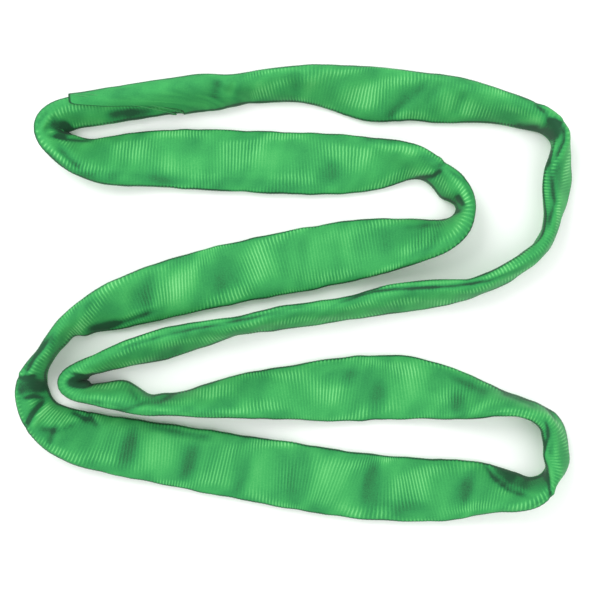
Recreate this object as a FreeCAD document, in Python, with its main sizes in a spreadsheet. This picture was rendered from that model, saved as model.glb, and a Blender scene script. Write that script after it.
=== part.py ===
import FreeCAD, Part
import math
import os

# Round sling lying in a loose loop: an endless hank of yarn in a woven tubular sleeve.
# Millimetres, +Z up, resting on the plane z = 0, centred in plan.

doc = FreeCAD.newDocument("round_sling")
sheet = doc.addObject("Spreadsheet::Sheet", "sizes")

SIZES = [
    ("sleeve_wall", 1.0),        # thickness of the woven cover
    ("lap_gap", 0.3),            # clearance between the two lapped sleeve ends
    ("strand_dia", 4.2),         # one turn of the core
    ("strand_pitch", 4.5),       # spacing of the turns inside the cover
    ("winding_turns", 11),       # turns in the hank
    ("end_overlap", 30),         # first and last ends of the strand side by side
    ("shift_length", 26),        # run over which a turn moves to the next place
    ("tape_half_width", 18.4),
    ("tape_half_thick", 6.9),
    ("tape_wall", 0.4),
    ("tape_length", 44),
    ("seam_dia", 0.9),           # sewing thread
    ("seam_inset_outer", 4),     # from the mouth of the joint, along the sleeve
    ("seam_inset_inner", 12),
    ("cuff_half_width", 20.6),   # section of the sleeve along the joint
    ("cuff_half_thick", 8.6),
    ("cuff_lean", 58),
    ("mouth_near", -208),        # mouth of the joint along x on its high side
    ("mouth_far", -108),         # and on its low side
    ("label_thick", 0.7),        # blank tag sewn under the lower strand
    ("label_length", 64),
    ("label_half_width", 19),
    ("label_gap", 0.1),
    ("label_seam_dia", 0.5),
    ("label_seam_inset", 4),
    ("label_lift", 1.45),        # the strand stands this much higher over its tag
    ("joint_lift", 2.3),         # the inner end stands this much higher inside the outer one
    ("shift_x", -3.8),           # centres the whole in plan
    ("shift_y", 1.2),
]

for row, (alias, value) in enumerate(SIZES, start=1):
    sheet.set("A%d" % row, alias)
    sheet.set("B%d" % row, str(value))
    sheet.setAlias("B%d" % row, alias)
doc.recompute()


def size(alias):
    return float(sheet.get(alias))


# The loop, station by station in the direction of travel.
# x, y of the middle; half width and half thickness of the flattened tube;
# lean of its wide side about the direction of travel, in degrees
# (0 lies flat, 90 stands on edge, 180 lies flat with the other face up).
JOINT_RUN = [
    (-203.0, 167.0, 20.6, 8.6, 58),
    (-179.0, 170.8, 20.6, 8.6, 58),
    (-132.0, 178.1, 20.6, 8.6, 58),
]
LOOP = [
    # top strand
    (-86.0, 185.3, 20.6, 8.6, 58),
    (-72.0, 187.5, 20.6, 8.6, 58),
    (-51.0, 189.0, 20.2, 8.0, 66),
    (-21.0, 192.5, 21.2, 8.8, 58),
    (7.0, 194.5, 21.4, 8.6, 55),
    (29.0, 193.0, 22.8, 8.4, 45),
    (50.0, 189.2, 24.2, 8.0, 34),
    (77.0, 184.8, 26.4, 7.2, 17),
    (107.0, 184.5, 23.4, 8.0, 25),
    (135.0, 181.0, 24.0, 8.0, 29),
    (159.0, 178.8, 23.0, 8.4, 41),
    (182.0, 175.0, 21.6, 8.8, 53),
    (202.0, 170.2, 20.4, 8.6, 60),
    (220.0, 164.8, 20.2, 8.4, 66),
    # upper-right corner and the right side
    (234.5, 160.0, 20.2, 8.2, 74),
    (243.5, 152.5, 20.4, 8.4, 80),
    (249.3, 142.6, 20.5, 8.6, 92),
    (248.5, 129.0, 21.0, 9.2, 106),
    (246.8, 113.0, 21.6, 9.5, 121),
    (245.0, 98.0, 21.6, 9.5, 121),
    (243.5, 84.0, 21.0, 9.0, 115),
    (241.5, 69.0, 20.4, 7.7, 102),
    (237.0, 53.0, 20.2, 7.3, 96),
    (227.5, 39.0, 20.2, 7.4, 97),
    (213.5, 28.0, 20.4, 7.6, 100),
    (195.5, 17.5, 20.4, 7.8, 103),
    # thin strand running down to the left
    (170.0, 5.5, 20.0, 7.4, 100),
    (154.0, 2.5, 20.8, 8.3, 107),
    (136.0, 0.8, 21.5, 9.2, 115),
    (97.0, -4.0, 21.5, 9.4, 117),
    (71.0, -9.3, 21.2, 8.8, 113),
    (47.0, -14.3, 20.8, 7.9, 108),
    (22.0, -18.0, 20.6, 8.2, 110),
    (-3.0, -21.2, 20.5, 8.4, 112),
    (-27.0, -25.2, 20.4, 7.8, 106),
    (-49.0, -29.6, 20.2, 7.3, 100),
    (-68.0, -33.8, 20.6, 8.1, 108),
    (-86.0, -37.8, 20.8, 8.9, 115),
    (-120.0, -46.8, 21.6, 9.4, 121),
    (-142.0, -52.8, 21.0, 9.2, 117),
    (-162.0, -58.5, 20.8, 8.0, 110),
    (-177.0, -64.0, 20.2, 7.4, 104),
    # inner-left turn
    (-189.0, -68.6, 20.0, 7.4, 101),
    (-198.5, -72.5, 20.0, 7.4, 100),
    (-204.8, -77.0, 20.0, 7.4, 99),
    (-206.6, -82.2, 20.0, 7.4, 99),
    (-203.3, -87.6, 20.0, 7.4, 99),
    (-196.3, -91.0, 20.0, 7.4, 100),
    (-186.2, -92.4, 20.0, 7.5, 102),
    (-175.0, -92.7, 20.4, 8.0, 108),
    (-160.0, -93.7, 21.0, 8.8, 115),
    (-146.0, -98.8, 20.8, 8.4, 110),
    (-132.0, -102.8, 20.2, 7.5, 102),
    # upper strand of the lower loop
    (-115.0, -102.2, 20.2, 7.6, 105),
    (-98.0, -101.0, 20.2, 8.0, 111),
    (-82.0, -99.4, 21.0, 8.6, 122),
    (-62.0, -96.4, 22.2, 8.4, 135),
    (-41.0, -94.0, 23.4, 7.8, 147),
    (-3.0, -91.6, 25.2, 7.2, 162),
    (32.0, -89.8, 28.8, 6.6, 175),
    (68.0, -87.4, 30.8, 6.4, 180),
    (102.0, -86.4, 29.8, 6.4, 176),
    (126.0, -88.8, 27.4, 6.8, 168),
    (145.0, -92.2, 25.6, 7.2, 160),
    (161.0, -94.9, 23.4, 8.0, 146),
    (175.0, -97.5, 22.0, 8.6, 132),
    (187.0, -99.0, 21.0, 8.4, 119),
    (200.0, -101.5, 20.4, 8.0, 109),
    (212.0, -104.4, 20.2, 7.5, 103),
    # lower-right turn
    (226.8, -109.6, 20.2, 7.6, 102),
    (237.6, -117.2, 20.4, 8.2, 107),
    (243.0, -128.6, 21.0, 9.0, 115),
    (245.0, -142.0, 21.2, 9.3, 116),
    (245.5, -155.0, 21.0, 9.2, 110),
    (242.5, -167.5, 20.8, 9.0, 97),
    (234.5, -177.5, 21.0, 8.8, 81),
    (221.5, -183.3, 21.6, 8.8, 64),
    (206.0, -183.0, 22.8, 8.8, 50),
    (190.0, -180.5, 23.8, 8.4, 38),
    (172.0, -179.8, 25.6, 7.6, 23),
    (154.0, -181.5, 27.4, 7.0, 10),
    # lower strand
    (134.0, -183.0, 29.4, 6.5, 2),
    (77.0, -180.2, 30.5, 6.4, 0),
    (41.0, -175.5, 30.8, 6.4, 0),
    (6.0, -169.8, 30.8, 6.4, 0),
    (-41.0, -162.2, 30.0, 6.4, 0),
    (-85.0, -154.6, 29.0, 6.5, 0),
    (-120.0, -148.4, 28.4, 6.6, 3),
    (-148.0, -143.8, 27.0, 6.9, 8),
    (-176.0, -138.5, 26.8, 7.1, 12),
    (-192.0, -134.8, 26.0, 7.5, 18),
    (-207.5, -129.2, 24.8, 8.0, 28),
    (-220.0, -122.0, 23.4, 8.4, 38),
    # outer-left turn
    (-230.5, -113.0, 22.2, 8.8, 48),
    (-237.0, -101.2, 21.2, 9.0, 56),
    (-240.2, -88.5, 20.6, 9.0, 61),
    (-238.4, -75.5, 20.4, 8.5, 69),
    (-232.6, -64.0, 20.0, 7.9, 79),
    (-225.2, -53.6, 20.0, 7.5, 84),
    (-217.5, -42.5, 20.2, 7.9, 80),
    (-208.0, -32.8, 20.2, 8.2, 73),
    (-196.0, -25.0, 21.0, 8.8, 62),
    (-181.0, -18.0, 22.8, 8.8, 46),
    (-164.0, -11.6, 24.4, 8.2, 31),
    # broad strand running up to the right
    (-146.0, -5.2, 25.2, 7.6, 20),
    (-109.0, 6.2, 27.0, 7.0, 8),
    (-63.0, 17.4, 28.2, 6.6, 2),
    (-21.0, 26.0, 28.8, 6.5, 0),
    (15.0, 32.6, 29.4, 6.5, 0),
    (52.0, 39.8, 28.6, 6.7, -4),
    (87.0, 45.4, 26.4, 7.4, -16),
    (103.0, 47.4, 24.8, 8.0, -26),
    (118.0, 50.0, 23.2, 8.4, -37),
    (132.8, 52.0, 22.2, 8.8, -48),
    # middle-right turn
    (146.4, 56.8, 21.2, 8.8, -59),
    (155.8, 64.2, 20.4, 8.2, -70),
    (161.0, 74.4, 20.0, 7.4, -80),
    (161.2, 84.2, 20.0, 7.4, -80),
    (155.8, 93.4, 20.2, 8.0, -74),
    (147.4, 101.8, 20.4, 8.4, -67),
    (136.6, 110.4, 20.2, 8.0, -68),
    (124.6, 118.4, 20.4, 8.2, -64),
    (112.5, 122.2, 21.4, 8.4, -51),
    # second strand
    (100.0, 122.6, 22.8, 8.2, -39),
    (87.0, 121.4, 24.0, 7.9, -28),
    (73.0, 120.4, 25.4, 7.5, -17),
    (38.0, 120.9, 28.8, 6.6, -3),
    (-3.0, 121.6, 28.8, 6.5, 0),
    (-58.0, 124.4, 28.8, 6.5, 0),
    (-116.0, 126.2, 27.4, 6.8, 4),
    (-140.0, 125.6, 26.0, 7.2, 12),
    (-160.0, 124.0, 25.2, 7.8, 21),
    # upper-left turn
    (-176.0, 123.8, 24.2, 8.2, 30),
    (-191.0, 126.2, 22.8, 8.6, 40),
    (-204.0, 131.4, 21.6, 8.6, 51),
    (-214.4, 138.4, 20.8, 8.6, 58),
    (-221.6, 146.8, 20.4, 8.6, 60),
    (-223.0, 155.5, 20.4, 8.6, 60),
    (-216.0, 162.5, 20.6, 8.6, 59),
]

STATIONS = JOINT_RUN + LOOP
COUNT = len(STATIONS)


def travel_angle(index):
    """Direction of travel at a station, from its two neighbours."""
    before = STATIONS[(index - 1) % COUNT]
    after = STATIONS[(index + 1) % COUNT]
    return math.atan2(after[1] - before[1], after[0] - before[0])


JOINT_ANGLE = math.atan2(LOOP[0][1] - JOINT_RUN[0][1], LOOP[0][0] - JOINT_RUN[0][0])


def heading(index):
    """The joint lies in one straight run, so that its two ends can nest."""
    if index <= 4:
        return JOINT_ANGLE
    return travel_angle(index)


def rest_height(half_width, half_thick, lean):
    """Height of the middle of a leaning oval that touches the floor."""
    turn = math.radians(lean)
    return math.hypot(half_width * math.sin(turn), half_thick * math.cos(turn))


LABEL_AT = STATIONS.index((41.0, -175.5, 30.8, 6.4, 0))


def station_height(index):
    """Height of the middle of a station, with the tag under the lower strand and the lapped joint."""
    index %= COUNT
    x, y, half_width, half_thick, lean = STATIONS[index]
    lift = 0.0
    if abs(index - LABEL_AT) <= 1:
        lift = size("label_lift")
    if index <= 4:
        lift = size("joint_lift")
    return rest_height(half_width, half_thick, lean) + lift


def frame_at(x, y, z, angle, lean):
    """Section plane across the direction of travel: local x is the wide side, local z is travel."""
    travel = FreeCAD.Vector(math.cos(angle), math.sin(angle), 0)
    across = FreeCAD.Vector(-math.sin(angle), math.cos(angle), 0)
    turn = math.radians(lean)
    wide = across * math.cos(turn) + FreeCAD.Vector(0, 0, math.sin(turn))
    thin = travel.cross(wide)
    rotation = FreeCAD.Rotation(wide, thin, travel, "ZXY")
    return FreeCAD.Placement(FreeCAD.Vector(x, y, z), rotation)


# One row of the sheet per station: middle, half sizes and lean.
first_row = len(SIZES) + 2
for index, station in enumerate(STATIONS):
    row = first_row + index
    x, y, half_width, half_thick, lean = station
    values = (x, y, station_height(index), half_width, half_thick)
    names = ("mid_x_", "mid_y_", "mid_z_", "half_width_", "half_thick_")
    for column, name, value in zip("CDEFG", names, values):
        sheet.set("%s%d" % (column, row), "%.2f" % value)
        sheet.setAlias("%s%d" % (column, row), "%s%03d" % (name, index))
doc.recompute()


def section(label, index, grow):
    """Oval section bound to its station; grow is an expression added to both half sizes."""
    oval = doc.addObject("Part::Ellipse", label)
    x, y, half_width, half_thick, lean = STATIONS[index]
    z = size("mid_z_%03d" % index)
    oval.Placement = frame_at(x, y, z, heading(index), lean)
    oval.setExpression("MajorRadius", "(sizes.half_width_%03d + %s) * 1 mm" % (index, grow))
    oval.setExpression("MinorRadius", "(sizes.half_thick_%03d + %s) * 1 mm" % (index, grow))
    oval.setExpression("Placement.Base.x", "sizes.mid_x_%03d * 1 mm" % index)
    oval.setExpression("Placement.Base.y", "sizes.mid_y_%03d * 1 mm" % index)
    oval.setExpression("Placement.Base.z", "sizes.mid_z_%03d * 1 mm" % index)
    return oval


def joint_axis_y(x):
    return JOINT_RUN[0][1] + (x - JOINT_RUN[0][0]) * math.tan(JOINT_ANGLE)


def joint_height():
    leaning = rest_height(size("cuff_half_width"), size("cuff_half_thick"), size("cuff_lean"))
    return leaning + size("joint_lift")


def joint_section(label, x, grow):
    """Oval section on the straight run of the joint."""
    oval = doc.addObject("Part::Ellipse", label)
    oval.Placement = frame_at(x, joint_axis_y(x), joint_height(), JOINT_ANGLE, size("cuff_lean"))
    oval.setExpression("MajorRadius", "(sizes.cuff_half_width + %s) * 1 mm" % grow)
    oval.setExpression("MinorRadius", "(sizes.cuff_half_thick + %s) * 1 mm" % grow)
    return oval


def loft(label, sections):
    body = doc.addObject("Part::Loft", label)
    body.Sections = sections
    body.Solid = True
    body.Ruled = True
    body.Closed = False
    return body


def cut(label, base, tool):
    body = doc.addObject("Part::Cut", label)
    body.Base = base
    body.Tool = tool
    return body


def tube(label, outside, inside):
    return cut(label, loft(label + "_outside", outside), loft(label + "_inside", inside))


def closed_skin(faces):
    """One solid from faces that meet edge to edge."""
    skin = Part.makeShell(faces)
    skin.sewShape()
    return Part.makeSolid(skin)


def ruled_faces(edges):
    return [Part.makeRuledSurface(a, b) for a, b in zip(edges, edges[1:])]


OUTER_LAP = "sizes.sleeve_wall + sizes.lap_gap"
OUTER_LAP_BORE = "sizes.lap_gap"
PLAIN = "0"
PLAIN_BORE = "-sizes.sleeve_wall"
LAP_END = -72.0
CUFF_START = -100.0
JOINT_HEIGHT = joint_height()
HALF_PLAN = 16.5


def main_sections(prefix, lap_grow, plain_grow):
    """Once round the loop: wide at the start, where the outer end of the joint begins."""
    ovals = [joint_section(prefix + "_start", CUFF_START, lap_grow)]
    for index in range(3, COUNT):
        grow = lap_grow if index <= 4 else plain_grow
        ovals.append(section("%s_%03d" % (prefix, index), index, grow))
    for index in range(3):
        ovals.append(section("%s_again_%d" % (prefix, index), index, plain_grow))
    ovals.append(joint_section(prefix + "_end", LAP_END, plain_grow))
    return ovals


def mouth_point(angle, grow, inset):
    """Point of the slanted mouth on the sleeve grown by grow, moved along the sleeve by inset."""
    turn = math.radians(size("cuff_lean"))
    u = (size("cuff_half_width") + grow) * math.cos(angle)
    v = (size("cuff_half_thick") + grow) * math.sin(angle)
    across = u * math.cos(turn) - v * math.sin(turn)
    up = u * math.sin(turn) + v * math.cos(turn)
    share = (HALF_PLAN - across) / (2 * HALF_PLAN)
    x = size("mouth_near") + (size("mouth_far") - size("mouth_near")) * share + inset
    side = FreeCAD.Vector(-math.sin(JOINT_ANGLE), math.cos(JOINT_ANGLE), 0)
    return FreeCAD.Vector(x, joint_axis_y(x), JOINT_HEIGHT) + side * across + FreeCAD.Vector(0, 0, up)


def mouth_curve(grow, inset):
    steps = 64
    points = [mouth_point(2 * math.pi * step / steps, grow, inset) for step in range(steps)]
    marks = [2 * math.pi * step / steps for step in range(steps + 1)]
    curve = Part.BSplineCurve()
    curve.interpolate(points, PeriodicFlag=True, Parameters=marks)
    return curve


lap_grow = size("sleeve_wall") + size("lap_gap")
outside = main_sections("out", OUTER_LAP, PLAIN)
inside = main_sections("bore", OUTER_LAP_BORE, PLAIN_BORE)
doc.recompute()
outside_edges = [mouth_curve(lap_grow, 0).toShape()] + [oval.Shape.Edges[0] for oval in outside]
inside_edges = [mouth_curve(size("lap_gap"), 0).toShape()] + [oval.Shape.Edges[0] for oval in inside]
end_faces = [
    Part.makeRuledSurface(outside_edges[0], inside_edges[0]),
    Part.makeRuledSurface(outside_edges[-1], inside_edges[-1]),
]
outer_sleeve = doc.addObject("Part::Feature", "outer_sleeve")
outer_sleeve.Shape = closed_skin(ruled_faces(outside_edges) + ruled_faces(inside_edges) + end_faces)


# Core: one strand wound round and round, two layers deep.
pitch = size("strand_pitch")
PLACES = [(-2.5 + step, -0.5) for step in range(6)] + [(2.5 - step, 0.5) for step in range(6)]


def loop_lengths():
    """Distance travelled at each station, and once round."""
    marks = [0.0]
    for index in range(COUNT):
        here = STATIONS[index]
        there = STATIONS[(index + 1) % COUNT]
        marks.append(marks[-1] + math.hypot(there[0] - here[0], there[1] - here[1]))
    return marks


MARKS = loop_lengths()
ROUND = MARKS[-1]


def frame_along(travelled):
    """Position, heading and lean at a distance along the loop."""
    place = travelled % ROUND
    index = 0
    while index < COUNT - 1 and MARKS[index + 1] <= place:
        index += 1
    share = (place - MARKS[index]) / (MARKS[index + 1] - MARKS[index])
    here = STATIONS[index]
    there = STATIONS[(index + 1) % COUNT]
    mixed = [p + (q - p) * share for p, q in zip(here, there)]
    start = heading(index)
    swing = heading((index + 1) % COUNT) - start
    swing = (swing + math.pi) % (2 * math.pi) - math.pi
    height = station_height(index) + (station_height(index + 1) - station_height(index)) * share
    return mixed[0], mixed[1], height, start + swing * share, mixed[4]


def strand_shape():
    """Ruled run of circles; each turn ends by moving over into the next free place."""
    turns = int(size("winding_turns"))
    shift = size("shift_length")
    start_at = MARKS[2] - 15.0
    sections = []
    radius = size("strand_dia") / 2
    for turn_number in range(turns):
        shift_end = ROUND - 12.0 - turn_number * (shift + 4.0)
        marks = [(mark - start_at) % ROUND for mark in MARKS[:-1]]
        marks = [m for m in marks if m < shift_end - shift - 3 or m > shift_end + 3]
        marks += [shift_end - shift, shift_end - shift / 2, shift_end]
        if turn_number == 0:
            marks.append(0.0)
            marks = [m for m in marks if m == 0.0 or m > 4.0]
        for mark in sorted(set(marks)):
            moved = min(1.0, max(0.0, (mark - shift_end + shift) / shift))
            here = PLACES[turn_number]
            there = PLACES[turn_number + 1]
            sections.append((start_at + mark, here, there, moved))
    last = PLACES[turns]
    for mark in (6.0, size("end_overlap")):
        sections.append((start_at + mark, last, last, 0.0))
    wires = []
    for travelled, here, there, moved in sections:
        x, y, z, angle, lean = frame_along(travelled)
        frame = frame_at(x, y, z, angle, lean)
        offset = FreeCAD.Vector(
            (here[0] + (there[0] - here[0]) * moved) * pitch,
            (here[1] + (there[1] - here[1]) * moved) * pitch,
            0,
        )
        circle = Part.Circle(FreeCAD.Vector(0, 0, 0), FreeCAD.Vector(0, 0, 1), radius)
        wire = Part.Wire([circle.toShape()])
        wire.Placement = FreeCAD.Placement(frame.multVec(offset), frame.Rotation)
        wires.append(wire)
    edges = [wire.Edges[0] for wire in wires]
    return closed_skin([Part.Face(wires[0])] + ruled_faces(edges) + [Part.Face(wires[-1])])


core_hank = doc.addObject("Part::Feature", "core_hank")
core_hank.Shape = strand_shape()

# Tape round the hank where the two ends of the strand overlap.
tape_x = -132.0


def tape_section(label, x, grow):
    oval = doc.addObject("Part::Ellipse", label)
    oval.Placement = frame_at(x, joint_axis_y(x), JOINT_HEIGHT, JOINT_ANGLE, size("cuff_lean"))
    oval.setExpression("MajorRadius", "(sizes.tape_half_width + %s) * 1 mm" % grow)
    oval.setExpression("MinorRadius", "(sizes.tape_half_thick + %s) * 1 mm" % grow)
    return oval


tape_reach = size("tape_length") / 2
core_end_tape = tube(
    "core_end_tape",
    [tape_section("tape_out_a", tape_x - tape_reach, "0"), tape_section("tape_out_b", tape_x + tape_reach, "0")],
    [
        tape_section("tape_in_a", tape_x - tape_reach, "-sizes.tape_wall"),
        tape_section("tape_in_b", tape_x + tape_reach, "-sizes.tape_wall"),
    ],
)


def mouth_thread(inset):
    """Closed thread lying on the outer end of the joint, parallel to its slanted mouth."""
    radius = size("seam_dia") / 2
    curve = mouth_curve(lap_grow + radius + 0.06, inset)
    start = curve.FirstParameter
    ring = Part.Wire([Part.Circle(curve.value(start), curve.tangent(start)[0], radius).toShape()])
    return Part.Wire([curve.toShape()]).makePipeShell([ring], True, True)


joint_seam_outer = doc.addObject("Part::Feature", "joint_seam_outer")
joint_seam_outer.Shape = mouth_thread(size("seam_inset_outer"))
joint_seam_inner = doc.addObject("Part::Feature", "joint_seam_inner")
joint_seam_inner.Shape = mouth_thread(size("seam_inset_inner"))


# Tag under the lower strand: a patch of a thin band that follows the sleeve.
def label_ovals(prefix, grow):
    return [section("%s_%d" % (prefix, step), LABEL_AT + step - 1, grow) for step in range(3)]


label_band = tube(
    "label_band",
    label_ovals("label_out", "sizes.label_gap + sizes.label_thick"),
    label_ovals("label_bore", "sizes.label_gap"),
)
label_x, label_y = STATIONS[LABEL_AT][:2]
label_angle = heading(LABEL_AT)
label_patch = doc.addObject("Part::Box", "label_patch")
label_patch.setExpression("Length", "sizes.label_length * 1 mm")
label_patch.setExpression("Width", "sizes.label_half_width * 2 mm")
label_patch.Height = 7
label_travel = FreeCAD.Vector(math.cos(label_angle), math.sin(label_angle), 0)
label_side = FreeCAD.Vector(-math.sin(label_angle), math.cos(label_angle), 0)
label_corner = FreeCAD.Vector(label_x, label_y, -2)
label_corner -= label_travel * (size("label_length") / 2) + label_side * size("label_half_width")
label_patch.Placement = FreeCAD.Placement(
    label_corner, FreeCAD.Rotation(FreeCAD.Vector(0, 0, 1), math.degrees(label_angle))
)
identification_label = doc.addObject("Part::Common", "identification_label")
identification_label.Base = label_band
identification_label.Tool = label_patch


def label_thread(offset):
    """Thread across one end of the tag, curved with the underside of the sleeve."""
    x, y, z, angle, lean = frame_along(MARKS[LABEL_AT] + offset)
    radius = size("label_seam_dia") / 2
    grow = size("label_gap") + size("label_thick") + radius + 0.05
    half_width = STATIONS[LABEL_AT][2] + grow
    half_thick = STATIONS[LABEL_AT][3] + grow
    reach = size("label_half_width") - 2.0
    frame = frame_at(x, y, z, angle, lean)
    circles = []
    for step in range(13):
        u = reach * (step / 6.0 - 1.0)
        v = -half_thick * math.sqrt(1 - (u / half_width) ** 2)
        slope = -v * u / (half_width ** 2 - u ** 2)
        forward = frame.Rotation.multVec(FreeCAD.Vector(1, slope, 0))
        sideways = frame.Rotation.multVec(FreeCAD.Vector(0, 0, 1))
        turned = FreeCAD.Rotation(sideways, forward.cross(sideways), forward, "ZXY")
        circle = Part.Wire([Part.Circle(FreeCAD.Vector(0, 0, 0), FreeCAD.Vector(0, 0, 1), radius).toShape()])
        circle.Placement = FreeCAD.Placement(frame.multVec(FreeCAD.Vector(u, v, 0)), turned)
        circles.append(circle)
    caps = [Part.Face(circles[0]), Part.Face(circles[-1])]
    return closed_skin(caps + ruled_faces([circle.Edges[0] for circle in circles]))


seam_reach = size("label_length") / 2 - size("label_seam_inset")
label_seam_left = doc.addObject("Part::Feature", "label_seam_left")
label_seam_left.Shape = label_thread(seam_reach)
label_seam_right = doc.addObject("Part::Feature", "label_seam_right")
label_seam_right.Shape = label_thread(-seam_reach)
doc.recompute()

NODES = [
    outer_sleeve,
    core_hank,
    core_end_tape,
    joint_seam_outer,
    joint_seam_inner,
    identification_label,
    label_seam_left,
    label_seam_right,
]

bad = [o.Name for o in doc.Objects if "Invalid" in o.State or "Error" in o.State]
if bad:
    raise RuntimeError("objects failed: %s" % bad)
os.makedirs("parts", exist_ok=True)
middle = FreeCAD.Placement(FreeCAD.Vector(size("shift_x"), size("shift_y"), 0), FreeCAD.Rotation())
for node in NODES:
    node.Label = node.Name
    node.Placement = middle.multiply(node.Placement)
doc.recompute()
for node in NODES:
    shape = node.Shape
    box = shape.optimalBoundingBox(True, False)
    print(node.Name, shape.isValid(), len(shape.Solids), round(shape.Volume), box)
    if shape.isNull() or not shape.isValid():
        raise RuntimeError("bad shape: " + node.Name)
    shape.exportStep("parts/%s.step" % node.Name)
print("once round %.0f mm" % ROUND)
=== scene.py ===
import math

import bpy
import numpy as np
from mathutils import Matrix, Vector


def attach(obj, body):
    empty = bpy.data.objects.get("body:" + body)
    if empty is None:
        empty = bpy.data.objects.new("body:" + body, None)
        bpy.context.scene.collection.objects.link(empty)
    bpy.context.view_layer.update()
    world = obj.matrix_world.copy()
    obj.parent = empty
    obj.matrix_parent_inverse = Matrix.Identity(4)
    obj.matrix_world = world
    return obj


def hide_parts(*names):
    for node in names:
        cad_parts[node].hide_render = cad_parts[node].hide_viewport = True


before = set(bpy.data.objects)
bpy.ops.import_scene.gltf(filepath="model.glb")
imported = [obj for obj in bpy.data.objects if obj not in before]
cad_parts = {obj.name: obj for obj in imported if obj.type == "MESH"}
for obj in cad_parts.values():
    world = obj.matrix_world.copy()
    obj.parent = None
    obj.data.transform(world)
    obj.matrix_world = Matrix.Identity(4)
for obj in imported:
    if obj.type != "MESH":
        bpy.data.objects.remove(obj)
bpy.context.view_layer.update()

MM = 0.001

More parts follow.
